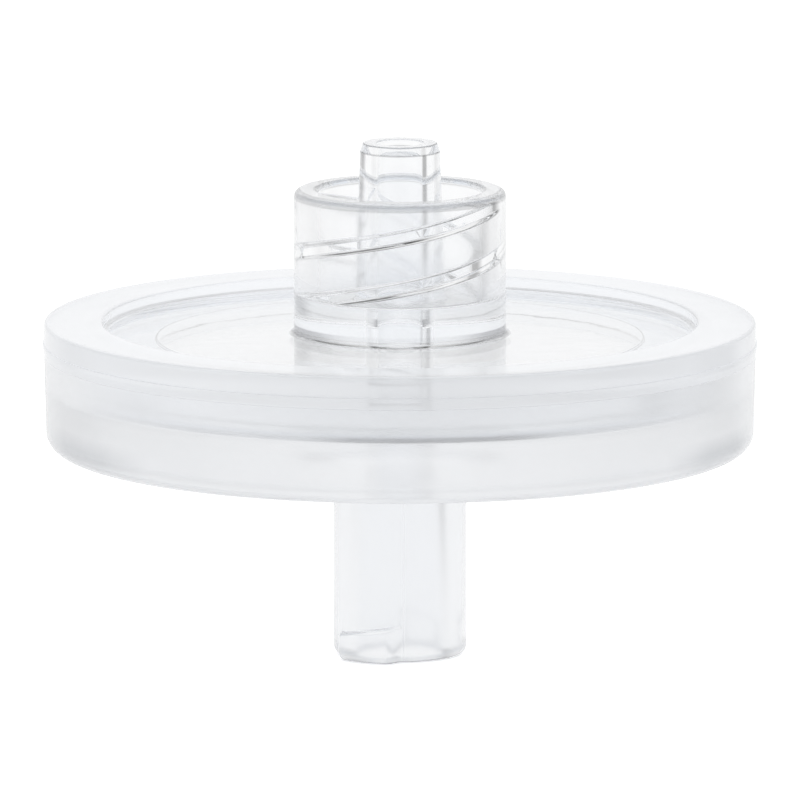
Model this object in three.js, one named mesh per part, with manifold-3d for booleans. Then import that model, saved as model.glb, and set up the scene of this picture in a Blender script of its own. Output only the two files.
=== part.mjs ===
// A disc syringe filter: a clear outlet housing with a male luer-lock connector, a clear inlet
// housing with a female luer port, and the flat membrane that the two clamp between them.
// Millimetres, +Z up. The port's end face lies on z = 0 and the flow axis is the Z axis.
// -Y is the front. Angles are in degrees, counter-clockwise from +X as seen from above.

import * as THREE from "three";
import { mergeVertices } from "three/addons/utils/BufferGeometryUtils.js";
import Module from "manifold-3d";

const wasm = await Module();
wasm.setup();

// ---- Round the axis ----
const SEGMENTS = 72;
const FILLET_STEPS = 3;

// ---- Disc: the two housings, welded at their rims ----
const DISC_RADIUS = 17.5;
const RIM_WIDTH = 2.95;             // flat rim round each recessed plate
const RIM_EDGE_RADIUS = 0.18;
const RECESS_FILLET = 0.3;
const OUTLET_RECESS = 0.58;         // depth of the recess inside the upper rim
const OUTLET_PLATE = 1.55;
const OUTLET_CHAMBER = 0.95;
const MEMBRANE_THICKNESS = 0.18;
const INLET_CHAMBER = 0.5;
const INLET_PLATE = 1.96;
const INLET_RECESS = 0.58;
const FLANGE_THICKNESS = 1.6;       // upper rim, above the welded seam
const SEAM_STEP = 0.06;             // by which the inlet wall is set in below the seam
const WALL_DRAFT = 0.11;            // fall in the inlet wall's radius from seam to foot
const WALL_FOOT_RADIUS = 0.9;
const WALL_THICKNESS = 2.15;
const PLUG_CLEARANCE = 0.1;         // between the outlet housing's plug and the wall round it
const CLAMP_WIDTH = 3.3;            // ring face that presses on the membrane
const MEMBRANE_CLEARANCE = 0.9;     // from the membrane's edge to the wall

// ---- Passage and the ribs that hold the membrane off the inlet plate ----
const PASSAGE_RADIUS = 1.12;
const RIB_COUNT = 24;
const RIB_ANGLE = 3;                // ribs widen outwards
const RIB_END_GAP = 0.9;            // from a rib's end to the chamber wall
const LONG_RIB_START = 2.6;
const SHORT_RIB_START = 5.6;
const RIB_ROOT = 0.3;               // how far a rib runs down into its plate

// ---- Female luer port ----
const PORT_LENGTH = 10.2;           // from its end face up to the lower rim
const PORT_WALL = 1.1;              // round the bore's mouth
const PORT_EDGE_RADIUS = 0.25;
const PORT_FOOT_FILLET = 0.4;
const PORT_BORE_RADIUS = 2.15;      // at the mouth
const PORT_BORE_DEPTH = 8.2;
const PORT_BORE_CHAMFER = 0.15;

// ---- Locking lugs of the port ----
const LUG_HEIGHT = 0.65;            // out of the port's side
const LUG_ARC = 52;
const LUG_MIDDLES = [-120, 60];
const LUG_LOW_HEIGHT = 1.25;
const LUG_HIGH_HEIGHT = 1.75;       // at the counter-clockwise end
const LUG_CHAMFER = 0.15;
const LUG_ROOT = 0.6;               // how far a lug runs into the port's wall
const LUG_STEPS = 8;

// ---- Male luer tip ----
const LUER_TAPER = 0.06;            // change in diameter per length
const TIP_PROJECTION = 2.3;         // beyond the collar
const TIP_END_RADIUS = 1.97;
const TIP_CHAMFER_WIDTH = 0.14;
const TIP_CHAMFER_HEIGHT = 0.35;

// ---- Threaded collar round the tip ----
const COLLAR_RISE = 6.5;            // above the upper rim
const COLLAR_WALL = 1.2;
const COLLAR_EDGE_RADIUS = 0.35;
const COLLAR_FOOT_FILLET = 0.35;
const COLLAR_BORE_RADIUS = 4.0;
const COLLAR_MOUTH_CHAMFER = 0.2;
const COLLAR_FLOOR_RISE = 1.76;     // solid base between the recessed plate and the collar's floor

// ---- Internal thread: two starts, right-handed, running down into the collar's floor ----
const THREAD_LEAD = 5;
const THREAD_STARTS = 2;
const THREAD_HEIGHT = 0.45;
const THREAD_ROOT_WIDTH = 0.85;
const THREAD_CREST_WIDTH = 0.4;
const THREAD_MOUTH_GAP = 0.6;       // from the collar's rim to the top of the helix
const THREAD_UPPER_END = -3;        // direction of the first ridge's upper end
const THREAD_FADE = 40;             // angle over which a ridge grows from its upper end
const THREAD_ROOT = 0.3;            // how far a ridge runs into the collar's wall and floor
const THREAD_STEP = 7.5;

// ---- Levels, from the port's end face upwards ----
const lowerRim = PORT_LENGTH;
const inletUnderside = lowerRim + INLET_RECESS;
const inletFloor = inletUnderside + INLET_PLATE;
const membraneSeat = inletFloor + INLET_CHAMBER;
const membraneTop = membraneSeat + MEMBRANE_THICKNESS;
const outletCeiling = membraneTop + OUTLET_CHAMBER;
const outletFloor = outletCeiling + OUTLET_PLATE;
const upperRim = outletFloor + OUTLET_RECESS;
const seam = upperRim - FLANGE_THICKNESS;
const collarFloor = outletFloor + COLLAR_FLOOR_RISE;
const collarTop = upperRim + COLLAR_RISE;
const tipEnd = collarTop + TIP_PROJECTION;

// ---- Radii that follow from one another ----
const wallTopRadius = DISC_RADIUS - SEAM_STEP;
const wallFootRadius = wallTopRadius - WALL_DRAFT;
const wallInnerRadius = DISC_RADIUS - WALL_THICKNESS;
const plugRadius = wallInnerRadius - PLUG_CLEARANCE;
const chamberRadius = plugRadius - CLAMP_WIDTH;
const recessRadius = DISC_RADIUS - RIM_WIDTH;
const membraneRadius = wallInnerRadius - MEMBRANE_CLEARANCE;
const collarRadius = COLLAR_BORE_RADIUS + COLLAR_WALL;
const tipRootRadius = TIP_END_RADIUS + (LUER_TAPER / 2) * (tipEnd - collarFloor);
const portRadius = PORT_BORE_RADIUS + PORT_WALL;
const portBoreEndRadius = PORT_BORE_RADIUS - (LUER_TAPER / 2) * PORT_BORE_DEPTH;
const lugRadius = portRadius + LUG_HEIGHT;

const radians = THREE.MathUtils.degToRad;

/** A corner of a section at a radius and a height, rounded where a fillet is given. */
const corner = (r, z, fillet = 0) => ({ at: new THREE.Vector2(r, z), fillet });

/** The points of a closed section whose corners are rounded with arcs. */
function section(corners) {
  const points = [];
  corners.forEach(({ at, fillet }, i) => {
    if (fillet === 0) {
      points.push(at);
      return;
    }
    const before = corners[(i + corners.length - 1) % corners.length].at.clone().sub(at);
    const after = corners[(i + 1) % corners.length].at.clone().sub(at);
    const half = Math.abs(before.angleTo(after)) / 2;
    before.normalize();
    after.normalize();
    const reach = fillet / Math.tan(half);
    const centre = before.clone().add(after).normalize().multiplyScalar(fillet / Math.sin(half)).add(at);
    const first = at.clone().addScaledVector(before, reach).sub(centre);
    const last = at.clone().addScaledVector(after, reach).sub(centre);
    const turn = Math.atan2(first.cross(last), first.dot(last));
    for (let step = 0; step <= FILLET_STEPS; step += 1) {
      points.push(first.clone().rotateAround(new THREE.Vector2(), (turn * step) / FILLET_STEPS).add(centre));
    }
  });
  return [...points, points[0].clone()];
}

/** The section turned once round the Z axis. */
function turned(points) {
  const geometry = new THREE.LatheGeometry(points, SEGMENTS);
  geometry.rotateX(Math.PI / 2);
  return geometry;
}

/** A closed solid through equal rings of points, with its first and last ring as flat ends. */
function lofted(rings) {
  const count = rings[0].length;
  const positions = rings.flat().flatMap((point) => point.toArray());
  const triangles = [];
  for (let ring = 0; ring + 1 < rings.length; ring += 1) {
    for (let i = 0; i < count; i += 1) {
      const a = ring * count + i;
      const b = ring * count + ((i + 1) % count);
      triangles.push(a, a + count, b, b, a + count, b + count);
    }
  }
  const end = (rings.length - 1) * count;
  for (let i = 1; i + 1 < count; i += 1) {
    triangles.push(0, i, i + 1, end, end + i + 1, end + i);
  }
  const geometry = new THREE.BufferGeometry();
  geometry.setAttribute("position", new THREE.Float32BufferAttribute(positions, 3));
  geometry.setIndex(triangles);
  return geometry;
}

/** A ring of points that a section's corners, each a radius and a height, make at one direction. */
const ringAt = (direction, corners) =>
  corners.map(([r, z]) => new THREE.Vector3(r * Math.cos(direction), r * Math.sin(direction), z));

function solidOf(geometry) {
  geometry.deleteAttribute("normal");
  geometry.deleteAttribute("uv");
  const merged = mergeVertices(geometry, 1e-4);
  return new wasm.Manifold(new wasm.Mesh({
    numProp: 3,
    vertProperties: new Float32Array(merged.attributes.position.array),
    triVerts: new Uint32Array(merged.index.array),
  }));
}

function joined(base, additions) {
  const whole = additions.reduce((sum, addition) => sum.add(solidOf(addition)), solidOf(base));
  const { vertProperties, triVerts } = whole.getMesh();
  const geometry = new THREE.BufferGeometry();
  geometry.setAttribute("position", new THREE.BufferAttribute(vertProperties, 3));
  geometry.setIndex(new THREE.BufferAttribute(triVerts, 1));
  return geometry;
}

/** Tip, collar, recessed plate, rim and the plug that presses on the membrane: one moulding. */
function outletBody() {
  return turned(section([
    corner(PASSAGE_RADIUS, outletCeiling),
    corner(chamberRadius, outletCeiling),
    corner(chamberRadius, membraneTop),
    corner(plugRadius, membraneTop),
    corner(plugRadius, seam),
    corner(DISC_RADIUS, seam),
    corner(DISC_RADIUS, upperRim, RIM_EDGE_RADIUS),
    corner(recessRadius, upperRim, RIM_EDGE_RADIUS),
    corner(recessRadius, outletFloor, RECESS_FILLET),
    corner(collarRadius, outletFloor, COLLAR_FOOT_FILLET),
    corner(collarRadius, collarTop, COLLAR_EDGE_RADIUS),
    corner(COLLAR_BORE_RADIUS + COLLAR_MOUTH_CHAMFER, collarTop),
    corner(COLLAR_BORE_RADIUS, collarTop - COLLAR_MOUTH_CHAMFER),
    corner(COLLAR_BORE_RADIUS, collarFloor),
    corner(tipRootRadius, collarFloor),
    corner(TIP_END_RADIUS, tipEnd - TIP_CHAMFER_HEIGHT),
    corner(TIP_END_RADIUS - TIP_CHAMFER_WIDTH, tipEnd),
    corner(PASSAGE_RADIUS, tipEnd),
  ]));
}

/** One ridge of the collar's thread, from its upper end down to where it is sunk in the floor. */
function threadRidge(upperEnd) {
  const top = collarTop - THREAD_MOUTH_GAP;
  const bottom = collarFloor - THREAD_ROOT_WIDTH / 2 - THREAD_ROOT;
  const run = (360 * (top - bottom)) / THREAD_LEAD;
  const steps = Math.ceil(run / THREAD_STEP);
  const rings = [];
  for (let step = 0; step <= steps; step += 1) {
    const angle = (run * step) / steps;
    const z = bottom + (THREAD_LEAD * angle) / 360;
    const crest = COLLAR_BORE_RADIUS - THREAD_HEIGHT * Math.min(1, (run - angle) / THREAD_FADE);
    rings.push(ringAt(radians(upperEnd - run + angle), [
      [COLLAR_BORE_RADIUS + THREAD_ROOT, z - THREAD_ROOT_WIDTH / 2],
      [COLLAR_BORE_RADIUS + THREAD_ROOT, z + THREAD_ROOT_WIDTH / 2],
      [crest, z + THREAD_CREST_WIDTH / 2],
      [crest, z - THREAD_CREST_WIDTH / 2],
    ]));
  }
  return lofted(rings);
}

function outletHousing() {
  const ridges = Array.from({ length: THREAD_STARTS }, (_, start) =>
    threadRidge(THREAD_UPPER_END + (360 * start) / THREAD_STARTS));
  return joined(outletBody(), ridges);
}

/** Port, recessed plate and the wall that the outlet housing is welded into: one moulding. */
function inletBody() {
  return turned(section([
    corner(PORT_BORE_RADIUS + PORT_BORE_CHAMFER, 0),
    corner(portRadius, 0, PORT_EDGE_RADIUS),
    corner(portRadius, inletUnderside, PORT_FOOT_FILLET),
    corner(recessRadius, inletUnderside, RECESS_FILLET),
    corner(recessRadius, lowerRim, RIM_EDGE_RADIUS),
    corner(wallFootRadius, lowerRim, WALL_FOOT_RADIUS),
    corner(wallTopRadius, seam),
    corner(wallInnerRadius, seam),
    corner(wallInnerRadius, membraneSeat),
    corner(chamberRadius, membraneSeat),
    corner(chamberRadius, inletFloor),
    corner(PASSAGE_RADIUS, inletFloor),
    corner(PASSAGE_RADIUS, PORT_BORE_DEPTH),
    corner(portBoreEndRadius, PORT_BORE_DEPTH),
    corner(PORT_BORE_RADIUS, PORT_BORE_CHAMFER),
  ]));
}

/** A rib on the inlet plate, whose top face carries the membrane. */
function rib(index) {
  const middle = (360 * index) / RIB_COUNT;
  const start = index % 2 === 0 ? LONG_RIB_START : SHORT_RIB_START;
  const end = chamberRadius - RIB_END_GAP;
  const low = inletFloor - RIB_ROOT;
  const sides = [middle - RIB_ANGLE / 2, middle + RIB_ANGLE / 2];
  return lofted(sides.map((side) => ringAt(radians(side), [
    [start, low],
    [end, low],
    [end, membraneSeat],
    [start, membraneSeat],
  ])));
}

/** A locking lug: its upper face climbs counter-clockwise, as the mating thread does. */
function lug(middle) {
  const rings = [];
  for (let step = 0; step <= LUG_STEPS; step += 1) {
    const share = step / LUG_STEPS;
    const top = THREE.MathUtils.lerp(LUG_LOW_HEIGHT, LUG_HIGH_HEIGHT, share);
    rings.push(ringAt(radians(middle + LUG_ARC * (share - 0.5)), [
      [portRadius - LUG_ROOT, 0],
      [lugRadius - LUG_CHAMFER, 0],
      [lugRadius, LUG_CHAMFER],
      [lugRadius, top - LUG_CHAMFER],
      [lugRadius - LUG_CHAMFER, top],
      [portRadius - LUG_ROOT, top],
    ]));
  }
  return lofted(rings);
}

function inletHousing() {
  const ribs = Array.from({ length: RIB_COUNT }, (_, index) => rib(index));
  return joined(inletBody(), [...ribs, ...LUG_MIDDLES.map(lug)]);
}

/** The membrane: a thin disc, held at its edge and lying on the ribs. */
function membraneDisc() {
  const geometry = new THREE.CylinderGeometry(
    membraneRadius, membraneRadius, MEMBRANE_THICKNESS, SEGMENTS);
  geometry.rotateX(Math.PI / 2);
  geometry.translate(0, 0, membraneSeat + MEMBRANE_THICKNESS / 2);
  return geometry;
}

function piece(name, geometry, colour, roughness) {
  const material = new THREE.MeshStandardMaterial({ color: colour, roughness, metalness: 0 });
  const mesh = new THREE.Mesh(geometry, material);
  mesh.name = name;
  return mesh;
}

const filter = new THREE.Group();
filter.name = "syringe_filter";
filter.add(
  piece("outlet_housing", outletHousing(), 0xe8edf0, 0.08),
  piece("filter_membrane", membraneDisc(), 0xf6f6f4, 0.85),
  piece("inlet_housing", inletHousing(), 0xe2e8ec, 0.12),
);

export default filter;
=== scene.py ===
"""A clear disc syringe filter that stands on its female port, on a pale studio floor."""

import math

import bpy
import numpy as np
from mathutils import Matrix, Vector


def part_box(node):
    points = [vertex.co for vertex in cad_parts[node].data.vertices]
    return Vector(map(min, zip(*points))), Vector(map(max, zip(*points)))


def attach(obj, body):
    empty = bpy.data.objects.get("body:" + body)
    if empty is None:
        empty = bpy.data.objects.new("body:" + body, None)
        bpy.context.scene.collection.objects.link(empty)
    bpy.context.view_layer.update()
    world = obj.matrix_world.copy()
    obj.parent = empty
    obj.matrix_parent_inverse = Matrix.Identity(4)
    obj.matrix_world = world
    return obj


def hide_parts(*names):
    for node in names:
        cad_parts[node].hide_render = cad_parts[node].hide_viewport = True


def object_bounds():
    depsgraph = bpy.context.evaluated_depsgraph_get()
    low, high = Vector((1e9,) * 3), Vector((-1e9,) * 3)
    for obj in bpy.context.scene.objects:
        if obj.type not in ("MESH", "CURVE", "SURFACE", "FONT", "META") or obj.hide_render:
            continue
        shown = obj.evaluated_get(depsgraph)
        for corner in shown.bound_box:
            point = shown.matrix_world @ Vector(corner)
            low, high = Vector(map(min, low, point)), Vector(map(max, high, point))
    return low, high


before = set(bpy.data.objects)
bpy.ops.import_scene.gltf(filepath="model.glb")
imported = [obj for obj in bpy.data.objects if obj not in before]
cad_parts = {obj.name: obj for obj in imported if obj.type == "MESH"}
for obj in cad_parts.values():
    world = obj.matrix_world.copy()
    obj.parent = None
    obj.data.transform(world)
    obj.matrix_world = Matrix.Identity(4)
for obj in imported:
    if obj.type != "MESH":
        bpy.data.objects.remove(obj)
cad_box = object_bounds()

MM = 0.001

# ---- Levels of the two housings, in millimetres, from the frame ----
inlet_low, inlet_high = (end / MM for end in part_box("inlet_housing"))
_, outlet_high = (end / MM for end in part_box("outlet_housing"))
membrane_low, membrane_high = (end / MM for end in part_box("filter_membrane"))
PORT_END = inlet_low.z
SEAM = inlet_high.z
MEMBRANE_SEAT = membrane_low.z
MEMBRANE_TOP = membrane_high.z
TIP_END = outlet_high.z

# ---- Disc, in millimetres ----
DISC_RADIUS = outlet_high.x
WALL_TOP_RADIUS = inlet_high.x
WALL_DRAFT = 0.11
WALL_THICKNESS = 2.15
WALL_FOOT_RADIUS = 0.9
PLUG_CLEARANCE = 0.1
CLAMP_WIDTH = 3.3
RIM_WIDTH = 2.95
RIM_EDGE_RADIUS = 0.18
RECESS_DEPTH = 0.58
RECESS_FILLET = 0.3
FLANGE_THICKNESS = 1.6
INLET_CHAMBER = 0.5
INLET_PLATE = 1.96
OUTLET_CHAMBER = 0.95
PASSAGE_RADIUS = 1.12
CLAMP_GROOVE_WIDTH = 0.35           # groove round the membrane's seat
CLAMP_GROOVE_DEPTH = 0.22
CLAMP_GROOVE_FILLET = 0.12
WELD_GAP = 0.004                    # air that shows the seam between the mouldings
SEAM_BLEND = 0.35                   # height over which the flange swells out above the seam
LEDGE_WIDTH = 0.06                  # witness line of the mould round the flange
LEDGE_DEPTH = 1.04                  # below the upper rim

# ---- Small edge radii of the mouldings, in millimetres ----
SEAM_EDGE = 0.01
SHARP_EDGE = 0.02
THIN_EDGE = 0.03
CRISP_EDGE = 0.04
FINE_EDGE = 0.05
CEILING_EDGE = 0.06
SOFT_EDGE = 0.08
PASSAGE_EDGE = 0.1

# ---- Ribs under the membrane ----
RIB_COUNT = 24
RIB_ANGLE = 2.5                     # degrees
RIB_END_GAP = 0.9
LONG_RIB_START = 2.6
SHORT_RIB_START = 5.6
RIB_DRAFT = 0.05
RIB_SIDE = 0.3                      # degrees over which a rib's side falls

# ---- Membrane sheet ----
MEMBRANE_GAP = 0.03                 # air above and below it
MEMBRANE_PINHOLE = 0.02             # radius at which its turned section ends

# ---- Female port and its lugs ----
PORT_RADIUS = 3.25
PORT_EDGE_RADIUS = 0.45
PORT_FOOT_FILLET = 0.4
PORT_BORE_RADIUS = 2.15
PORT_BORE_DEPTH = 8.2
PORT_BORE_CHAMFER = 0.15
PORT_ROWS = 10
LUER_TAPER = 0.06
LUG_HEIGHT = 0.65
LUG_ARC = 52                        # degrees
LUG_MIDDLES = (-120, 60)
LUG_LOW_HEIGHT = 1.25
LUG_HIGH_HEIGHT = 1.75
LUG_EDGE_RADIUS = 0.15
LUG_FOOT_RADIUS = 0.4
LUG_TOP_SLOPE = 0.08                # how much higher a lug's upper face ends at the port
LUG_END_BLEND = 14                  # degrees over which a lug's ends sink into the port
PARTING_DIRECTION = -86.8           # mould parting line on the port, in degrees
PARTING_HEIGHT = 0.04
PARTING_HALF_WIDTH = 0.8            # degrees

# ---- Male tip, collar and thread ----
TIP_END_RADIUS = 1.97
TIP_ROOT_FILLET = 0.2
TIP_CHAMFER_WIDTH = 0.15
TIP_CHAMFER_HEIGHT = 0.42
COLLAR_RISE = 6.5
COLLAR_BORE_RADIUS = 4.0
COLLAR_WALL = 1.2
COLLAR_EDGE_RADIUS = 0.35
COLLAR_FOOT_FILLET = 0.25
COLLAR_MOUTH_CHAMFER = 0.2
COLLAR_FLOOR_RISE = 1.76
COLLAR_FLOOR_FILLET = 0.15
THREAD_LEAD = 5
THREAD_STARTS = 2
THREAD_HEIGHT = 0.45
THREAD_ROOT_WIDTH = 0.85
THREAD_CREST_WIDTH = 0.4
THREAD_MOUTH_GAP = 0.6
THREAD_UPPER_END = -3               # direction of the first ridge's upper end, in degrees
THREAD_FADE = 40                    # degrees over which that end rises to its full height

# ---- How finely the meshes are divided ----
OUTLET_STEP = 1.25                  # degrees
MEMBRANE_STEP = 1.5                 # degrees
FILLET_STEPS = 6
MEMBRANE_FILLET_STEPS = 3
SUPPORT = 0.04                      # from a fillet to the row that supports it, in millimetres
CORNER_ROOM = 0.48                  # share of an edge that the corner at one end may take
ARC_ROOM = 0.8                      # share of that room that the fillet may take
STRAIGHT_LIMIT = 0.035              # below this bend, in radians, the outline counts as straight
TINY = 1e-9
SHARP_ANGLE = 55                    # degrees
THREAD_ROWS = 120
THREAD_SAMPLES = 1200
FLANK_WEIGHT = 5                    # how much closer the rows lie on a ridge's flanks
FLANK_REACH = 0.16
BORE_MARGIN = 0.05                  # rows this near the bore and its fillet carry the thread
LEVEL_MARGIN = 0.001
RIB_SIDE_STEP = 0.35                # degrees from a rib's side to the next direction
RIB_CLEARANCE = 1.2                 # degrees from a rib's side to the evenly spread directions
STEPS_BETWEEN_RIBS = 9
LUG_END_STEPS = 13
PARTING_STEPS = 7
LEAST_STEP = 0.08                   # degrees

# ---- Derived levels and radii ----
groove_floor = MEMBRANE_SEAT - CLAMP_GROOVE_DEPTH
inlet_floor = MEMBRANE_SEAT - INLET_CHAMBER
inlet_underside = inlet_floor - INLET_PLATE
lower_rim = inlet_underside - RECESS_DEPTH
upper_rim = SEAM + FLANGE_THICKNESS
outlet_floor = upper_rim - RECESS_DEPTH
outlet_ceiling = MEMBRANE_TOP + OUTLET_CHAMBER
collar_floor = outlet_floor + COLLAR_FLOOR_RISE
collar_top = upper_rim + COLLAR_RISE
wall_inner_radius = DISC_RADIUS - WALL_THICKNESS
groove_inner_radius = wall_inner_radius - CLAMP_GROOVE_WIDTH
plug_radius = wall_inner_radius - PLUG_CLEARANCE
chamber_radius = plug_radius - CLAMP_WIDTH
recess_radius = DISC_RADIUS - RIM_WIDTH
collar_radius = COLLAR_BORE_RADIUS + COLLAR_WALL
tip_root_radius = TIP_END_RADIUS + LUER_TAPER / 2 * (TIP_END - collar_floor)
tip_chamfer_level = TIP_END - TIP_CHAMFER_HEIGHT


# ---- Shapes ----

def smooth_step(value, start, end):
    """0 before start, 1 after end, and a smooth rise between them."""
    t = np.clip((value - start) / (end - start), 0, 1)
    return t * t * (3 - 2 * t)


def turn_between(angle, middle):
    """Signed angle from middle to angle, in degrees, within half a turn."""
    return (angle - middle + 180) % 360 - 180


def corner(r, z, fillet=0.0, rows=1):
    """A corner of a section; rows is the number of steps along the edge that follows it."""
    return r, z, fillet, rows


def section(corners, columns, fillet_steps=FILLET_STEPS):
    """Radii and heights, one row per section point and one column per direction round the axis.

    A corner's radius, height and fillet are numbers, or arrays that hold one value per column. A fillet and
    the support rows beside it take less than half of the shorter edge at their corner. Where the outline
    runs straight on, the fillet's rows are spread evenly.
    """
    at = np.array([[np.broadcast_to(c[0], columns), np.broadcast_to(c[1], columns)] for c in corners])
    rows = []
    count = len(corners)
    for i, (_, _, fillet, steps) in enumerate(corners):
        here, last, following = at[i], at[i - 1], at[(i + 1) % count]
        if np.all(np.asarray(fillet) == 0):
            leaving = here
            rows.append(here)
        else:
            back, forth = last - here, following - here
            back_length = np.maximum(np.linalg.norm(back, axis=0), TINY)
            forth_length = np.maximum(np.linalg.norm(forth, axis=0), TINY)
            back, forth = back / back_length, forth / forth_length
            half = np.arccos(np.clip((back * forth).sum(0), -1, 1)) / 2
            room = CORNER_ROOM * np.minimum(back_length, forth_length)
            reach = np.minimum(fillet / np.tan(half), ARC_ROOM * room)
            limited = reach * np.tan(half)
            beside = np.minimum(reach + SUPPORT, room)
            middle = back + forth
            length = np.linalg.norm(middle, axis=0)
            straight = length < STRAIGHT_LIMIT
            middle = middle / np.where(straight, 1, length)
            side = forth - back
            side = side / np.maximum(np.linalg.norm(side, axis=0), TINY)
            centre = here + middle * limited / np.sin(half)
            spread = math.pi / 2 - half
            entering = here + back * beside
            leaving = here + forth * beside
            rows.append(entering)
            for step in range(fillet_steps + 1):
                swing = spread * (2 * step / fillet_steps - 1)
                on_arc = centre + limited * (side * np.sin(swing) - middle * np.cos(swing))
                even = entering + (leaving - entering) * (step + 1) / (fillet_steps + 2)
                rows.append(np.where(straight, even, on_arc))
            rows.append(leaving)
        for step in range(1, steps):
            rows.append(leaving + (following - leaving) * step / steps)
    return np.array(rows)


def turned_mesh(name, rows, directions):
    """A closed mesh from section rows, shaped (row, 2, column), at directions in degrees."""
    angles = np.radians(directions)
    radius, height = rows[:, 0, :], rows[:, 1, :]
    points = np.stack([radius * np.cos(angles), radius * np.sin(angles), height], -1) * MM
    count, columns = radius.shape
    i, j = np.meshgrid(np.arange(count), np.arange(columns), indexing="ij")
    i_next, j_next = (i + 1) % count, (j + 1) % columns
    quads = np.stack([
        i * columns + j, i * columns + j_next,
        i_next * columns + j_next, i_next * columns + j], -1).reshape(-1, 4)
    mesh = bpy.data.meshes.new(name)
    mesh.from_pydata(points.reshape(-1, 3).tolist(), [], quads.tolist())
    mesh.validate()
    mesh.polygons.foreach_set("use_smooth", np.ones(len(mesh.polygons), bool))
    mesh.set_sharp_from_angle(angle=math.radians(SHARP_ANGLE))
    piece = bpy.data.objects.new(name, mesh)
    bpy.context.scene.collection.objects.link(piece)
    return piece


def thread_flank(directions, heights):
    """Distance along the axis from the nearest ridge's middle, and how much of its height is left."""
    top = collar_top - THREAD_MOUTH_GAP
    away = np.full(np.broadcast(directions, heights).shape, np.inf)
    left = np.zeros(away.shape)
    for start in range(THREAD_STARTS):
        turn_back = (THREAD_UPPER_END + 360 * start / THREAD_STARTS - directions) % 360
        offset = np.abs(heights - top + THREAD_LEAD * turn_back / 360)
        nearer = offset < away
        away = np.where(nearer, offset, away)
        left = np.where(nearer, np.clip(turn_back / THREAD_FADE, 0, 1), left)
    return away, left


def thread_rise(directions, heights):
    """How far the collar's thread stands in from the bore, in millimetres."""
    away, left = thread_flank(directions, heights)
    flank = 1 - smooth_step(away, THREAD_CREST_WIDTH / 2, THREAD_ROOT_WIDTH / 2)
    return THREAD_HEIGHT * flank * left


def thread_heights(directions, low, high):
    """Heights from high to low at every direction, closer together on the ridges' flanks."""
    even = np.linspace(high, low, THREAD_SAMPLES)[:, None]
    away, _ = thread_flank(directions, even)
    middle = (THREAD_CREST_WIDTH + THREAD_ROOT_WIDTH) / 4
    weight = 1 + FLANK_WEIGHT * np.exp(-((away - middle) / FLANK_REACH) ** 2)
    share = np.cumsum(weight, axis=0)
    share = (share - share[0]) / (share[-1] - share[0])
    steps = np.linspace(0, 1, THREAD_ROWS + 1)[1:-1]
    return np.array([np.interp(steps, column, even[:, 0]) for column in share.T]).T


def outlet_housing():
    """Tip, threaded collar, recessed plate, rim and plug ring, with the thread pushed into the bore."""
    directions = np.arange(0, 360, OUTLET_STEP)
    bore_top = collar_top - COLLAR_MOUTH_CHAMFER
    ledge = upper_rim - LEDGE_DEPTH
    rows = section([
        corner(PASSAGE_RADIUS, outlet_ceiling, PASSAGE_EDGE),
        corner(chamber_radius, outlet_ceiling, CEILING_EDGE),
        corner(chamber_radius, MEMBRANE_TOP + WELD_GAP, FINE_EDGE),
        corner(plug_radius, MEMBRANE_TOP + WELD_GAP, SOFT_EDGE),
        corner(plug_radius, SEAM + WELD_GAP, SHARP_EDGE),
        corner(WALL_TOP_RADIUS, SEAM + WELD_GAP, SEAM_EDGE),
        corner(DISC_RADIUS, SEAM + SEAM_BLEND, FINE_EDGE),
        corner(DISC_RADIUS, ledge, THIN_EDGE),
        corner(DISC_RADIUS - LEDGE_WIDTH, ledge, SHARP_EDGE),
        corner(DISC_RADIUS - LEDGE_WIDTH, upper_rim, RIM_EDGE_RADIUS),
        corner(recess_radius, upper_rim, RIM_EDGE_RADIUS),
        corner(recess_radius, outlet_floor, RECESS_FILLET),
        corner(collar_radius, outlet_floor, COLLAR_FOOT_FILLET),
        corner(collar_radius, collar_top, COLLAR_EDGE_RADIUS),
        corner(COLLAR_BORE_RADIUS + COLLAR_MOUTH_CHAMFER, collar_top, FINE_EDGE),
        corner(COLLAR_BORE_RADIUS, bore_top, FINE_EDGE, THREAD_ROWS),
        corner(COLLAR_BORE_RADIUS, collar_floor, COLLAR_FLOOR_FILLET),
        corner(tip_root_radius, collar_floor, TIP_ROOT_FILLET),
        corner(TIP_END_RADIUS, tip_chamfer_level, CRISP_EDGE),
        corner(TIP_END_RADIUS - TIP_CHAMFER_WIDTH, TIP_END, SOFT_EDGE),
        corner(PASSAGE_RADIUS, TIP_END, SOFT_EDGE),
    ], len(directions))
    radius, height = rows[:, 0, :], rows[:, 1, :]
    bored = (height[:, 0] < bore_top) & (height[:, 0] > collar_floor - LEVEL_MARGIN)
    bored &= np.abs(radius[:, 0] - COLLAR_BORE_RADIUS) < COLLAR_FLOOR_FILLET + BORE_MARGIN
    straight = np.flatnonzero(bored & np.isclose(radius[:, 0], COLLAR_BORE_RADIUS))
    between = straight[-THREAD_ROWS:-1]
    low, high = height[straight[-1], 0], height[between[0] - 1, 0]
    height[between] = thread_heights(directions, low, high)
    radius[bored] -= thread_rise(directions, height)[bored]
    return turned_mesh("outlet_shell", rows, directions)


def lug_share(directions):
    """1 where a lug stands, 0 elsewhere, and a lug's upper level at every direction."""
    share = np.zeros(len(directions))
    top = np.zeros(len(directions))
    half = LUG_ARC / 2
    for middle in LUG_MIDDLES:
        away = turn_between(directions, middle)
        sunk = smooth_step(np.abs(away), half - LUG_END_BLEND / 2, half + LUG_END_BLEND / 2)
        share = np.maximum(share, 1 - sunk)
        climb = np.interp(away, [-90, -half, half, 90], [0.5, 0, 1, 0.5])
        lug_top = LUG_LOW_HEIGHT + (LUG_HIGH_HEIGHT - LUG_LOW_HEIGHT) * climb
        top = np.where(np.abs(away) <= 90, lug_top, top)
    return share, top


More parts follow.
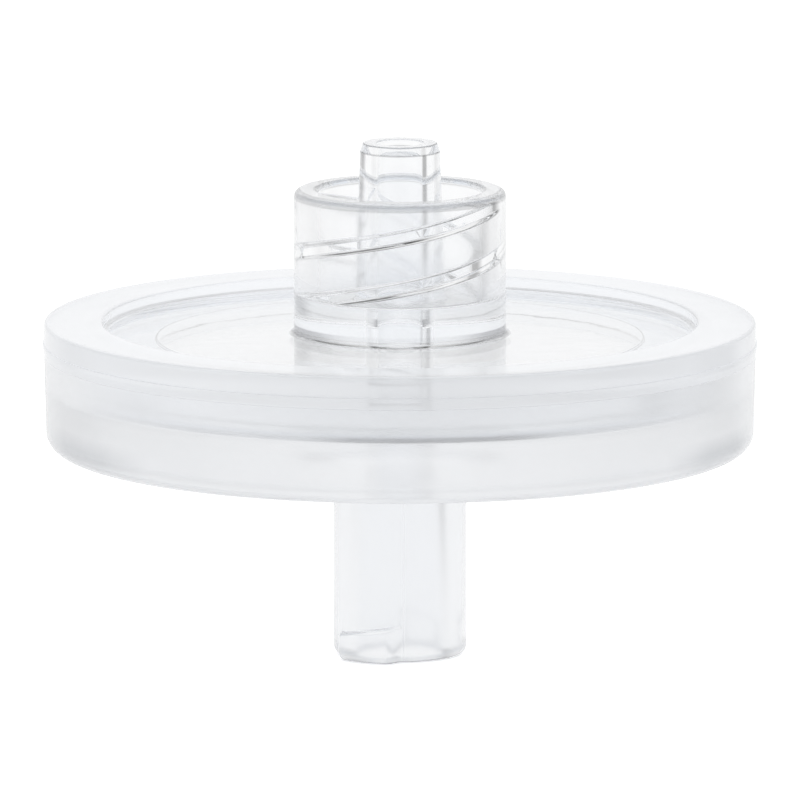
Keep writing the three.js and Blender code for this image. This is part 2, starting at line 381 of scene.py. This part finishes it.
def inlet_directions():
    """Directions round the inlet housing, closer together at the sides of ribs and lugs."""
    pitch = 360 / RIB_COUNT
    half = RIB_ANGLE / 2
    in_sector = [-half - RIB_SIDE_STEP, -half, -half / 2, 0, half / 2, half, half + RIB_SIDE_STEP]
    in_sector += list(np.linspace(half + RIB_CLEARANCE, pitch - half - RIB_CLEARANCE, STEPS_BETWEEN_RIBS))
    found = [pitch * rib + step for rib in range(RIB_COUNT) for step in in_sector]
    for middle in LUG_MIDDLES:
        for side in (-1, 1):
            edge = middle + side * LUG_ARC / 2
            found += list(edge + np.linspace(-0.5, 0.5, LUG_END_STEPS) * LUG_END_BLEND)
    found += list(PARTING_DIRECTION + np.linspace(-1, 1, PARTING_STEPS) * PARTING_HALF_WIDTH)
    found = np.sort(np.array(found) % 360)
    return found[np.diff(found, append=found[0] + 360) > LEAST_STEP]


def inlet_housing():
    """Port with its lugs, underside, side wall, clamp groove, ribbed plate and bore."""
    directions = inlet_directions()
    share, lug_top = lug_share(directions)
    from_parting = np.abs(turn_between(directions, PARTING_DIRECTION))
    parting = PARTING_HEIGHT * (1 - smooth_step(from_parting, 0, PARTING_HALF_WIDTH))
    outer = PORT_RADIUS + LUG_HEIGHT * share + parting
    outer_edge = PORT_EDGE_RADIUS + (LUG_FOOT_RADIUS - PORT_EDGE_RADIUS) * share
    pitch = 360 / RIB_COUNT
    index = np.round(directions / pitch).astype(int) % RIB_COUNT
    away = np.abs(turn_between(directions, index * pitch))
    ribbed = 1 - np.clip((away - RIB_ANGLE / 2) / RIB_SIDE, 0, 1)
    rib_top = inlet_floor + INLET_CHAMBER * ribbed
    rib_start = np.where(index % 2 == 0, LONG_RIB_START, SHORT_RIB_START)
    rib_end = chamber_radius - RIB_END_GAP
    bore_end = PORT_BORE_RADIUS - LUER_TAPER / 2 * PORT_BORE_DEPTH
    rows = section([
        corner(PORT_BORE_RADIUS + PORT_BORE_CHAMFER, PORT_END, FINE_EDGE),
        corner(outer, PORT_END, outer_edge),
        corner(outer, PORT_END + lug_top, LUG_EDGE_RADIUS),
        corner(PORT_RADIUS + parting, PORT_END + lug_top + LUG_TOP_SLOPE, 0, PORT_ROWS),
        corner(PORT_RADIUS + parting, inlet_underside, PORT_FOOT_FILLET),
        corner(recess_radius, inlet_underside, RECESS_FILLET),
        corner(recess_radius, lower_rim, RIM_EDGE_RADIUS),
        corner(WALL_TOP_RADIUS - WALL_DRAFT, lower_rim, WALL_FOOT_RADIUS),
        corner(WALL_TOP_RADIUS, SEAM, SEAM_EDGE),
        corner(wall_inner_radius, SEAM, SHARP_EDGE),
        corner(wall_inner_radius, groove_floor, CLAMP_GROOVE_FILLET),
        corner(groove_inner_radius, groove_floor, SOFT_EDGE),
        corner(groove_inner_radius, MEMBRANE_SEAT, CRISP_EDGE),
        corner(chamber_radius, MEMBRANE_SEAT, FINE_EDGE),
        corner(chamber_radius, inlet_floor, FINE_EDGE),
        corner(rib_end, inlet_floor),
        corner(rib_end - RIB_DRAFT, rib_top),
        corner(rib_start + RIB_DRAFT, rib_top),
        corner(rib_start, inlet_floor),
        corner(PASSAGE_RADIUS, inlet_floor, PASSAGE_EDGE),
        corner(PASSAGE_RADIUS, PORT_END + PORT_BORE_DEPTH, FINE_EDGE),
        corner(bore_end, PORT_END + PORT_BORE_DEPTH, PASSAGE_EDGE),
        corner(PORT_BORE_RADIUS, PORT_END + PORT_BORE_CHAMFER, FINE_EDGE),
    ], len(directions))
    return turned_mesh("inlet_shell", rows, directions)


def membrane():
    """A thin sheet between the clamp faces and the ribs."""
    directions = np.arange(0, 360, MEMBRANE_STEP)
    low, high = MEMBRANE_SEAT + MEMBRANE_GAP, MEMBRANE_TOP - MEMBRANE_GAP
    rows = section([
        corner(MEMBRANE_PINHOLE, low),
        corner(membrane_high.x, low, THIN_EDGE),
        corner(membrane_high.x, high, THIN_EDGE),
        corner(MEMBRANE_PINHOLE, high),
    ], len(directions), MEMBRANE_FILLET_STEPS)
    return turned_mesh("membrane_sheet", rows, directions)


# ---- Materials ----

CLEAR_COLOUR = (0.982, 0.987, 0.993)
MILKY_COLOUR = (0.945, 0.962, 0.993)
# Painted shade: the grey painted into the wall's skin.
PAINTED_SHADE_GREY = (0.6, 0.62, 0.65)
# Painted shade: the dark colour painted on the clamp groove, the port's foot and the edges of the tip and
# collar.
PAINTED_SHADE_DARK = (0.03, 0.03, 0.04)
PLASTIC_IOR = 1.5
HAZE_ROUGHNESS = 0.1
BORE_ROUGHNESS = 0.2                # of the collar's bore and floor, where the thread's core was
BORE_CLEARNESS = 0.7                # share of the haze that the port's bore doesn't have
STEP_HAZE = 0.4                     # on the step between the rim and the plate
WINDOW_CLEARNESS = 0.4              # share of the haze that the wall doesn't have before the groove
CLOUD_LEVELS = (0.85, 1.1)          # by which the haze varies from place to place
CLOUD_SCALE = 90
POLISH_SCALE = 260
RIPPLE_SCALE = 420
COARSE_DETAIL, FINE_DETAIL = 2, 4
RIPPLE_STRENGTH = 0.1
MEMBRANE_DULL = (0.92, 0.92, 0.925)
MEMBRANE_BRIGHT = (0.97, 0.97, 0.975)
CLAMPED_COLOUR = (0.86, 0.88, 0.91)
MEMBRANE_ROUGHNESS = 0.85
GRAIN_SCALE = 900
PORE_SCALE = 9000
PORE_STRENGTH = 0.2
BUMP_DISTANCE = 0.00002
NOISE_LOW, NOISE_HIGH = 0.3, 0.7    # between which nearly all of a noise's values lie

# Softness of the masks' edges, in millimetres.
MASK_SOFT = 0.05
THIN_SOFT = 0.02
FOOT_LINE_SOFT = 0.03
SHADED_LINE_SOFT = 0.04
FACE_SOFT = 0.08
FACE_SIDE_SOFT = 0.1
SKIN_SOFT = 0.15
WINDOW_SOFT = 0.25
PATCH_SOFT = 0.4

BEYOND = 1                          # past the last surface on that side, so the mask takes it in
FOOT_LINE = 0.07                    # height of the painted shade at the port's foot, in millimetres
ROUNDED_FROM, ROUNDED_TO = -0.998, -0.988   # the normal's Z from the port's end face to its edge

# Levels round the disc or the port, as pairs of degrees from the back, positive to +X, and a share.
# Painted shade: darkness painted on the clamp groove, the port's foot, the collar's foot and the collar's
# floor.
GROOVE_SHADE = ((-180, 0.9), (-172, 0.8), (-163, 0.35), (-120, 0.2), (120, 0.2), (150, 0.35),
                (161, 0.85), (180, 0.9))
FOOT_SHADE = ((-180, 0.8), (-110, 0.8), (-80, 0.15), (80, 0.15), (110, 0.8), (180, 0.8))
COLLAR_FOOT_SHADE = ((-180, 0.1), (-150, 0.2), (-130, 0.6), (-100, 0.75), (-75, 0.0), (75, 0.0),
                     (100, 0.75), (130, 0.6), (150, 0.2), (180, 0.1))
COLLAR_FLOOR_SHADE = ((-180, 0.35), (-160, 0.35), (-130, 0.7), (-90, 0.7), (-70, 0.2), (70, 0.2),
                      (90, 0.7), (130, 0.7), (160, 0.35), (180, 0.35))
# Painted shade in the wall's skin: above the clamp, and in two patches at the wall's foot.
UPPER_SHADE = ((-180, 0.42), (-145, 0.18), (-100, 0.0), (100, 0.0), (120, 0.15), (145, 0.36),
               (180, 0.42))
PATCH_SHADE = ((-180, 0.0), (-136, 0.0), (-124, 0.5), (-110, 0.6), (-98, 0.0), (98, 0.0),
               (108, 0.7), (120, 0.65), (132, 0.0), (180, 0.0))
# Milkiness of the rim's faces and of the wall's skin: partly real haze, partly painted light, as it is
# greater away from the front to make the sides lighter.
RIM_MILK_AND_SIDE_LIGHT = ((-180, 0.6), (-150, 0.75), (-120, 1.0), (120, 1.0), (150, 0.75), (180, 0.6))
WALL_MILK_AND_SIDE_LIGHT = ((-180, 0.78), (-150, 0.78), (-125, 1.0), (125, 1.0), (150, 0.78), (180, 0.78))

# Where the masks lie, in millimetres: inner and outer radius, lower and upper level.
GROOVE_LIMITS = (groove_inner_radius, wall_inner_radius + 0.03, groove_floor - 0.1, MEMBRANE_SEAT + 0.12)
STEP_LIMITS = (recess_radius - RECESS_FILLET, recess_radius + 0.05, lower_rim, upper_rim)
PORT_BORE_LIMITS = (-BEYOND, PORT_BORE_RADIUS + 0.05, PORT_END + 0.2, PORT_END + PORT_BORE_DEPTH + 0.1)
COLLAR_FLOOR_LIMITS = (tip_root_radius + 0.05, COLLAR_BORE_RADIUS + 0.05,
                       collar_floor - 0.1, collar_floor + 0.05)
# Radii alone, and levels alone.
COLLAR_BORE_RADII = (COLLAR_BORE_RADIUS - 0.03, COLLAR_BORE_RADIUS + 0.05)
COLLAR_BORE_LEVELS = (collar_floor, collar_top - 0.2)
PORT_FOOT_RADII = (PORT_BORE_RADIUS + 0.4, PORT_RADIUS + LUG_HEIGHT + BEYOND)
PORT_FOOT_LEVELS = (PORT_END - BEYOND, PORT_END + FOOT_LINE)
FACE_RADII = (recess_radius, DISC_RADIUS + BEYOND)
UPPER_FACE_LEVELS = (upper_rim - 0.18, upper_rim + BEYOND)
LOWER_FACE_LEVELS = (lower_rim - BEYOND, lower_rim + 0.18)
UPPER_SHADE_LEVELS = (MEMBRANE_SEAT - 0.2, MEMBRANE_TOP + 0.3)
PATCH_LEVELS = (lower_rim + 0.3, lower_rim + 1.5)
WINDOW_LEVELS = (MEMBRANE_SEAT - 0.1, MEMBRANE_SEAT + 0.5)
CLAMPED_RADII = (chamber_radius - 0.1, chamber_radius + 0.15)

# Painted shade along edges, all the way round: inner and outer radius, lower and upper level, and darkness.
# Darkness of the painted shade on the tip's edges and on the collar's edges.
TIP_LINE, COLLAR_LINE = 0.6, 0.45
PAINTED_EDGE_SHADES = (
    (TIP_END_RADIUS - 0.1, TIP_END_RADIUS + 0.1,
     tip_chamfer_level - 0.04, tip_chamfer_level + 0.04, TIP_LINE),
    (TIP_END_RADIUS - TIP_CHAMFER_WIDTH - 0.04, TIP_END_RADIUS,
     TIP_END - 0.06, TIP_END + BEYOND, TIP_LINE),
    (collar_radius - 0.25, collar_radius + BEYOND,
     collar_top - 0.42, collar_top - 0.08, COLLAR_LINE),
    (COLLAR_BORE_RADIUS + 0.08, COLLAR_BORE_RADIUS + 0.26,
     collar_top - 0.1, collar_top + BEYOND, COLLAR_LINE),
)
# Painted shade along edges, whose darkness varies round the collar: its foot and its floor.
SHADED_LINES = (
    (collar_radius - 0.1, collar_radius + COLLAR_FOOT_FILLET,
     outlet_floor + 0.05, outlet_floor + 0.5, COLLAR_FOOT_SHADE),
    (COLLAR_BORE_RADIUS - 0.18, COLLAR_BORE_RADIUS + 0.1,
     collar_floor - 0.1, collar_floor + 0.14, COLLAR_FLOOR_SHADE),
)


def new_material(name):
    material = bpy.data.materials.new(name)
    material.use_nodes = True
    tree = material.node_tree
    tree.nodes.clear()
    output = tree.nodes.new("ShaderNodeOutputMaterial")
    return material, tree, output


def noise(tree, scale, detail, place):
    node = tree.nodes.new("ShaderNodeTexNoise")
    node.inputs["Scale"].default_value = scale
    node.inputs["Detail"].default_value = detail
    tree.links.new(place, node.inputs["Vector"])
    return node.outputs["Fac"]


def map_range(tree, value, low, high, from_low=NOISE_LOW, from_high=NOISE_HIGH):
    """Value moved from one range, by default a noise's, to the range from low to high, and kept in it."""
    node = tree.nodes.new("ShaderNodeMapRange")
    node.inputs["From Min"].default_value = from_low
    node.inputs["From Max"].default_value = from_high
    node.inputs["To Min"].default_value = low
    node.inputs["To Max"].default_value = high
    tree.links.new(value, node.inputs["Value"])
    return node.outputs["Result"]


def colour_mix(tree, factor, first, second):
    """A mix of two colours, each a socket or a value."""
    node = tree.nodes.new("ShaderNodeMix")
    node.data_type = "RGBA"
    tree.links.new(factor, node.inputs["Factor"])
    for socket, value in ((node.inputs["A"], first), (node.inputs["B"], second)):
        if isinstance(value, tuple):
            socket.default_value = (*value, 1)
        else:
            tree.links.new(value, socket)
    return node.outputs["Result"]


def bump(tree, height, strength):
    node = tree.nodes.new("ShaderNodeBump")
    node.inputs["Strength"].default_value = strength
    node.inputs["Distance"].default_value = BUMP_DISTANCE
    tree.links.new(height, node.inputs["Height"])
    return node.outputs["Normal"]


def math_node(tree, operation, first, second):
    """A Math node of two numbers, each a socket or a value."""
    node = tree.nodes.new("ShaderNodeMath")
    node.operation = operation
    for socket, value in zip(node.inputs, (first, second)):
        if isinstance(value, (int, float)):
            socket.default_value = value
        else:
            tree.links.new(value, socket)
    return node.outputs[0]


def product(tree, found, *others):
    for other in others:
        found = math_node(tree, "MULTIPLY", found, other)
    return found


def greatest(tree, found, *others):
    for other in others:
        found = math_node(tree, "MAXIMUM", found, other)
    return found


def rest_of(tree, share):
    """What a share leaves of 1."""
    return math_node(tree, "SUBTRACT", 1.0, share)


def split_xyz(tree, vector):
    node = tree.nodes.new("ShaderNodeSeparateXYZ")
    tree.links.new(vector, node.inputs[0])
    return node.outputs


def distance_from_axis(tree, place):
    flat = tree.nodes.new("ShaderNodeVectorMath")
    flat.operation = "MULTIPLY"
    flat.inputs[1].default_value = (1, 1, 0)
    tree.links.new(place, flat.inputs[0])
    length = tree.nodes.new("ShaderNodeVectorMath")
    length.operation = "LENGTH"
    tree.links.new(flat.outputs["Vector"], length.inputs[0])
    return length.outputs["Value"]


def level_round(tree, way, levels):
    """The level in a direction from the axis, from pairs of degrees from +Y and levels."""
    parts = split_xyz(tree, way)
    turn = math_node(tree, "ARCTAN2", parts["X"], parts["Y"])
    turn = math_node(tree, "ADD", math_node(tree, "DIVIDE", turn, 2 * math.pi), 0.5)
    node = tree.nodes.new("ShaderNodeValToRGB")
    stops = node.color_ramp.elements
    for stop, (degrees, level) in zip((stops[0], stops[1]), (levels[0], levels[-1])):
        stop.position, stop.color = degrees / 360 + 0.5, (level, level, level, 1)
    for degrees, level in levels[1:-1]:
        stops.new(degrees / 360 + 0.5).color = (level, level, level, 1)
    tree.links.new(turn, node.inputs[0])
    return node.outputs["Color"]


def within(tree, value, low, high, soft=MASK_SOFT):
    """1 where a length lies between two limits in millimetres, 0 elsewhere, with soft steps."""
    rise = map_range(tree, value, 0.0, 1.0, (low - soft) * MM, (low + soft) * MM)
    fall = map_range(tree, value, 1.0, 0.0, (high - soft) * MM, (high + soft) * MM)
    return product(tree, rise, fall)


def growing(tree, value, start, end):
    """A rise from 0 at start to 1 at end, two lengths in millimetres."""
    return map_range(tree, value, 0.0, 1.0, start * MM, end * MM)


class Spot:
    """A shaded point of a piece, as sockets: its place, distance from the axis and height."""

    def __init__(self, tree):
        self.tree = tree
        self.place = tree.nodes.new("ShaderNodeTexCoord").outputs["Object"]
        self.from_axis = distance_from_axis(tree, self.place)
        self.height = split_xyz(tree, self.place)["Z"]

    def across(self, inner, outer, soft=MASK_SOFT):
        """1 between two distances from the axis."""
        return within(self.tree, self.from_axis, inner, outer, soft)

    def between(self, low, high, soft=MASK_SOFT):
        """1 between two heights."""
        return within(self.tree, self.height, low, high, soft)

    def ring(self, inner, outer, low, high, soft=MASK_SOFT):
        """1 between two distances from the axis and two heights."""
        return product(self.tree, self.across(inner, outer, soft), self.between(low, high, soft))

    def round(self, levels):
        """The level in the spot's direction from the axis."""
        return level_round(self.tree, self.place, levels)


def painted_shade_lines(spot):
    """Painted shade: how dark the clamp groove and the edges of the port's foot, the tip and the collar are
    painted.
    """
    tree = spot.tree
    groove = product(tree, spot.ring(*GROOVE_LIMITS), spot.round(GROOVE_SHADE))
    facing = split_xyz(tree, tree.nodes.new("ShaderNodeNewGeometry").outputs["Normal"])["Z"]
    port_foot = product(tree, spot.across(*PORT_FOOT_RADII),
                        spot.between(*PORT_FOOT_LEVELS, FOOT_LINE_SOFT),
                        map_range(tree, facing, 0.0, 1.0, ROUNDED_FROM, ROUNDED_TO),
                        spot.round(FOOT_SHADE))
    edges = [product(tree, spot.ring(*limits, THIN_SOFT), share) for *limits, share in PAINTED_EDGE_SHADES]
    edges += [product(tree, spot.ring(*limits, SHADED_LINE_SOFT), spot.round(levels))
              for *limits, levels in SHADED_LINES]
    return greatest(tree, groove, port_foot, *edges)


def painted_wall_shade(spot, skin):
    """How much painted shade greys the wall's skin, above the clamp and in the patches at its foot."""
    tree = spot.tree
    above = product(tree, growing(tree, spot.height, *UPPER_SHADE_LEVELS), spot.round(UPPER_SHADE))
    patches = product(tree, spot.between(*PATCH_LEVELS, PATCH_SOFT), spot.round(PATCH_SHADE))
    return product(tree, skin, greatest(tree, above, patches))


def milky_share(spot, skin, inner_haze, wall_haze, rim_haze):
    """How milky the plastic is, from 0, clear, to 1; on the rim's faces and the wall's skin it is greater
    away from the front, painted light that makes the sides lighter.
    """
    tree = spot.tree
    flat = greatest(tree, spot.between(*UPPER_FACE_LEVELS, FACE_SOFT),
                    spot.between(*LOWER_FACE_LEVELS, FACE_SOFT))
    faces = product(tree, spot.across(*FACE_RADII, FACE_SIDE_SOFT), flat, spot.round(RIM_MILK_AND_SIDE_LIGHT))
    wall = product(tree, skin, spot.round(WALL_MILK_AND_SIDE_LIGHT))
    milky = greatest(tree, map_range(tree, wall, inner_haze, wall_haze, 0, 1),
                     map_range(tree, faces, inner_haze, rim_haze, 0, 1),
                     product(tree, spot.ring(*STEP_LIMITS), STEP_HAZE))
    cleared = product(tree, spot.ring(*PORT_BORE_LIMITS), BORE_CLEARNESS)
    return product(tree, milky, rest_of(tree, cleared))


def satin_share(spot):
    """1 on the collar's floor and bore, which are satin as the core that forms the thread leaves them."""
    tree = spot.tree
    bore = product(tree, spot.across(*COLLAR_BORE_RADII, THIN_SOFT), spot.between(*COLLAR_BORE_LEVELS))
    return greatest(tree, spot.ring(*COLLAR_FLOOR_LIMITS), bore)


def clear_plastic(name, gloss, inner_haze, wall_haze, rim_haze, skin_start):
    """Moulded clear plastic whose outer wall and rim faces have a milky skin, with painted shade mixed into
    its colour.

    gloss is the least and greatest roughness where it is clear. The hazes say how milky it is inside, on
    the wall's skin and on the rim's faces, from 0, clear, to 1. Haze counts only on the outer side of a
    surface. skin_start is the distance from the axis at which the wall's skin begins.
    """
    material, tree, output = new_material(name)
    spot = Spot(tree)
    shader = tree.nodes.new("ShaderNodeBsdfPrincipled")
    shader.inputs["IOR"].default_value = PLASTIC_IOR

    skin = growing(tree, spot.from_axis, skin_start - SKIN_SOFT, skin_start + SKIN_SOFT)
    milky = milky_share(spot, skin, inner_haze, wall_haze, rim_haze)
    colour = colour_mix(tree, milky, CLEAR_COLOUR, MILKY_COLOUR)
    # Painted shade: grey in the wall's skin, then dark lines on the clamp groove, the port's foot and the
    # edges.
    colour = colour_mix(tree, painted_wall_shade(spot, skin), colour, PAINTED_SHADE_GREY)
    colour = colour_mix(tree, painted_shade_lines(spot), colour, PAINTED_SHADE_DARK)
    tree.links.new(colour, shader.inputs["Base Color"])

    window = product(tree, spot.between(*WINDOW_LEVELS, WINDOW_SOFT), spot.round(GROOVE_SHADE))
    clouds = noise(tree, CLOUD_SCALE, COARSE_DETAIL, spot.place)
    cloud = product(tree, map_range(tree, clouds, *CLOUD_LEVELS),
                    rest_of(tree, product(tree, window, WINDOW_CLEARNESS)))
    haze = product(tree, milky, cloud)
    outside = rest_of(tree, tree.nodes.new("ShaderNodeNewGeometry").outputs["Backfacing"])
    tree.links.new(rest_of(tree, product(tree, haze, outside)), shader.inputs["Transmission Weight"])

    polish = map_range(tree, noise(tree, POLISH_SCALE, FINE_DETAIL, spot.place), *gloss)
    dulled = greatest(tree, product(tree, haze, HAZE_ROUGHNESS),
                      product(tree, satin_share(spot), BORE_ROUGHNESS))
    tree.links.new(math_node(tree, "ADD", polish, dulled), shader.inputs["Roughness"])
    ripple = noise(tree, RIPPLE_SCALE, COARSE_DETAIL, spot.place)
    tree.links.new(bump(tree, ripple, RIPPLE_STRENGTH), shader.inputs["Normal"])
    tree.links.new(shader.outputs[0], output.inputs["Surface"])
    return material


def membrane_material():
    """Matt white microporous sheet, greyer where the housings clamp it."""
    material, tree, output = new_material("microporous_membrane")
    place = tree.nodes.new("ShaderNodeTexCoord").outputs["Object"]
    shader = tree.nodes.new("ShaderNodeBsdfPrincipled")
    grain = noise(tree, GRAIN_SCALE, FINE_DETAIL, place)
    grain = colour_mix(tree, grain, MEMBRANE_DULL, MEMBRANE_BRIGHT)
    clamped = growing(tree, distance_from_axis(tree, place), *CLAMPED_RADII)
    tree.links.new(colour_mix(tree, clamped, grain, CLAMPED_COLOUR), shader.inputs["Base Color"])
    shader.inputs["Roughness"].default_value = MEMBRANE_ROUGHNESS
    pores = noise(tree, PORE_SCALE, COARSE_DETAIL, place)
    tree.links.new(bump(tree, pores, PORE_STRENGTH), shader.inputs["Normal"])
    tree.links.new(shader.outputs[0], output.inputs["Surface"])
    return material


# ---- Studio ----

CAMERA_ELEVATION = 9.37             # degrees
CAMERA_DISTANCE = 0.8               # metres
IMAGE_WIDTH = 800                   # pixels
PIXELS_PER_MM = 20.4
TARGET_HEIGHT = 12.53               # millimetres
SENSOR_WIDTH = 36
CLIP_START = 0.01

ROOM_LEVEL = 0.92
LEVEL_BEHIND = 0.97                 # on matt surfaces that lie behind clear plastic
FLOOR_WHITE = 0.86
FLOOR_GLOW = 0.5                    # whitens the floor for the camera only
FLOOR_HALF_WIDTH = 6.0              # metres
FLOOR_DROP = 0.00002                # metres below the part, so that no two faces coincide
FLOOR_NEAR, FLOOR_FAR = 0.05, 0.09  # metres over which the floor takes on its levels round the part
# What shows in and through clear plastic, round the object: degrees from the back, and level.
FLOOR_LEVELS = ((-180, 0.8), (-120, 1.0), (-80, 1.0), (-50, 0.88), (-25, 1.0), (0, 1.0),
                (25, 1.0), (44, 0.98), (56, 0.45), (70, 0.45), (80, 0.85), (120, 1.0), (180, 0.8))
LOW_LEVELS = ((-180, 0.6), (-120, 0.9), (-80, 0.8), (-50, 0.75), (-25, 0.78), (0, 0.95),
              (25, 0.8), (44, 0.78), (56, 0.5), (70, 0.5), (80, 0.65), (120, 0.9), (180, 0.6))
HIGH_LEVELS = ((-180, 0.5), (-120, 0.78), (-60, 0.15), (0, 0.98), (60, 0.08), (120, 0.78),
               (180, 0.5))
CEILING_LEVEL = 0.08
# The sine of the height at which the low levels give way to the high, and those to the ceiling.
HIGH_START, HIGH_END = 0.2, 0.45
CEILING_START, CEILING_END = 0.6, 0.85

SOFTBOX_PLACE = (0.1, 0.15, 0.7)    # metres
SOFTBOX_SIZE = (0.6, 0.6)
SOFTBOX_POWER = 0.5


def add_camera():
    """A long lens at the height and angle from which the disc shows as a flat ellipse."""
    elevation = math.radians(CAMERA_ELEVATION)
    frame_width = IMAGE_WIDTH / PIXELS_PER_MM * MM
    target = Vector((0, 0, TARGET_HEIGHT * MM))
    camera = bpy.data.objects.new("camera", bpy.data.cameras.new("camera"))
    bpy.context.scene.collection.objects.link(camera)
    way = Vector((0, -math.cos(elevation), math.sin(elevation)))
    camera.location = target + way * CAMERA_DISTANCE
    camera.rotation_euler = way.to_track_quat("Z", "Y").to_euler()
    camera.data.sensor_width = SENSOR_WIDTH
    camera.data.lens = SENSOR_WIDTH * CAMERA_DISTANCE / frame_width
    camera.data.clip_start = CLIP_START
    bpy.context.scene.camera = camera


def light_path_share(tree, *names):
    """1 for the kinds of ray that are named, 0 for all others."""
    path = tree.nodes.new("ShaderNodeLightPath")
    return greatest(tree, 0.0, *(path.outputs[name] for name in names))


def shows_in_plastic(tree):
    """1 for what the camera sees in or through clear plastic, 0 for what lights a matt surface."""
    depth = tree.nodes.new("ShaderNodeLightPath").outputs["Diffuse Depth"]
    clear = rest_of(tree, math_node(tree, "MINIMUM", depth, 1.0))
    return product(tree, clear, light_path_share(tree, "Is Glossy Ray", "Is Transmission Ray"))


def mix_shaders(tree, factor, first, second):
    node = tree.nodes.new("ShaderNodeMixShader")
    for socket, value in zip(node.inputs, (factor, first, second)):
        tree.links.new(value, socket)
    return node.outputs[0]


def add_floor():
    """A pale floor that shows white to the camera and clear from below."""
    half = FLOOR_HALF_WIDTH
    corners = [(-half, -half, 0), (half, -half, 0), (half, half, 0), (-half, half, 0)]
    mesh = bpy.data.meshes.new("floor")
    mesh.from_pydata(corners, [], [(0, 1, 2, 3)])
    floor = bpy.data.objects.new("floor", mesh)
    bpy.context.scene.collection.objects.link(floor)
    floor.location.z = cad_box[0].z - FLOOR_DROP

    material, tree, output = new_material("floor")
    place = tree.nodes.new("ShaderNodeTexCoord").outputs["Object"]
    diffuse = tree.nodes.new("ShaderNodeBsdfDiffuse")
    diffuse.inputs["Color"].default_value = (FLOOR_WHITE, FLOOR_WHITE, FLOOR_WHITE, 1)
    whiten = tree.nodes.new("ShaderNodeEmission")
    tree.links.new(product(tree, light_path_share(tree, "Is Camera Ray"), FLOOR_GLOW),
                   whiten.inputs["Strength"])
    lit = tree.nodes.new("ShaderNodeAddShader")
    tree.links.new(diffuse.outputs[0], lit.inputs[0])
    tree.links.new(whiten.outputs[0], lit.inputs[1])

    away = map_range(tree, distance_from_axis(tree, place), 0.0, 1.0, FLOOR_NEAR, FLOOR_FAR)
    shown = tree.nodes.new("ShaderNodeEmission")
    level = colour_mix(tree, away, (1.0, 1.0, 1.0), level_round(tree, place, FLOOR_LEVELS))
    tree.links.new(level, shown.inputs["Color"])
    from_above = mix_shaders(tree, shows_in_plastic(tree), lit.outputs[0], shown.outputs[0])
    clear = tree.nodes.new("ShaderNodeBsdfTransparent")
    below = tree.nodes.new("ShaderNodeNewGeometry").outputs["Backfacing"]
    tree.links.new(mix_shaders(tree, below, from_above, clear.outputs[0]), output.inputs["Surface"])
    material.cycles.emission_sampling = "NONE"
    mesh.materials.append(material)


def add_world():
    """A white room at a plain level. What clear plastic shows of it is darker at the sides and above."""
    world = bpy.data.worlds.new("studio")
    bpy.context.scene.world = world
    world.use_nodes = True
    world.cycles.sampling_method = "NONE"
    tree = world.node_tree
    tree.nodes.clear()
    output = tree.nodes.new("ShaderNodeOutputWorld")
    way = tree.nodes.new("ShaderNodeTexCoord").outputs["Generated"]
    rise = split_xyz(tree, way)["Z"]
    raised = map_range(tree, rise, 0.0, 1.0, HIGH_START, HIGH_END)
    overhead = map_range(tree, rise, 0.0, 1.0, CEILING_START, CEILING_END)
    shown = colour_mix(tree, raised, level_round(tree, way, LOW_LEVELS),
                       level_round(tree, way, HIGH_LEVELS))
    shown = colour_mix(tree, overhead, shown, (CEILING_LEVEL,) * 3)
    behind = product(tree, light_path_share(tree, "Is Glossy Ray", "Is Transmission Ray"),
                     LEVEL_BEHIND)
    plain = greatest(tree, light_path_share(tree, "Is Camera Ray"), behind, ROOM_LEVEL)
    level = colour_mix(tree, shows_in_plastic(tree), plain, shown)
    background = tree.nodes.new("ShaderNodeBackground")
    tree.links.new(level, background.inputs["Color"])
    tree.links.new(background.outputs[0], output.inputs["Surface"])


def add_softbox(name, place, size, power):
    """A rectangular lamp that faces the middle of the floor."""
    lamp = bpy.data.objects.new(name, bpy.data.lights.new(name, "AREA"))
    bpy.context.scene.collection.objects.link(lamp)
    lamp.location = place
    lamp.data.shape = "RECTANGLE"
    lamp.data.size, lamp.data.size_y = size
    lamp.data.energy = power
    lamp.rotation_euler = Vector(place).to_track_quat("Z", "Y").to_euler()


# ---- Assembly ----

outlet_clear = clear_plastic("outlet_clear_plastic", gloss=(0.0, 0.02), inner_haze=0.0,
                             wall_haze=0.9, rim_haze=0.84, skin_start=DISC_RADIUS - 0.4)
inlet_clear = clear_plastic("inlet_clear_plastic", gloss=(0.12, 0.17), inner_haze=0.32,
                            wall_haze=0.6, rim_haze=0.78, skin_start=DISC_RADIUS - 0.9)

for build, node, slot, material in (
    (outlet_housing, "outlet_housing", "outlet_plastic", outlet_clear),
    (membrane, "filter_membrane", "membrane", membrane_material()),
    (inlet_housing, "inlet_housing", "inlet_plastic", inlet_clear),
):
    piece = build()
    piece.data.materials.append(material)
    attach(piece, "root")
    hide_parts(node)

add_camera()
add_floor()
add_world()
add_softbox("overhead_softbox", SOFTBOX_PLACE, SOFTBOX_SIZE, SOFTBOX_POWER)

scene = bpy.context.scene
scene.view_settings.view_transform = "Standard"
scene.cycles.blur_glossy = 0
scene.cycles.max_bounces = 48
scene.cycles.diffuse_bounces = 32
scene.cycles.transmission_bounces = 48
scene.cycles.glossy_bounces = 32
scene.cycles.transparent_max_bounces = 24
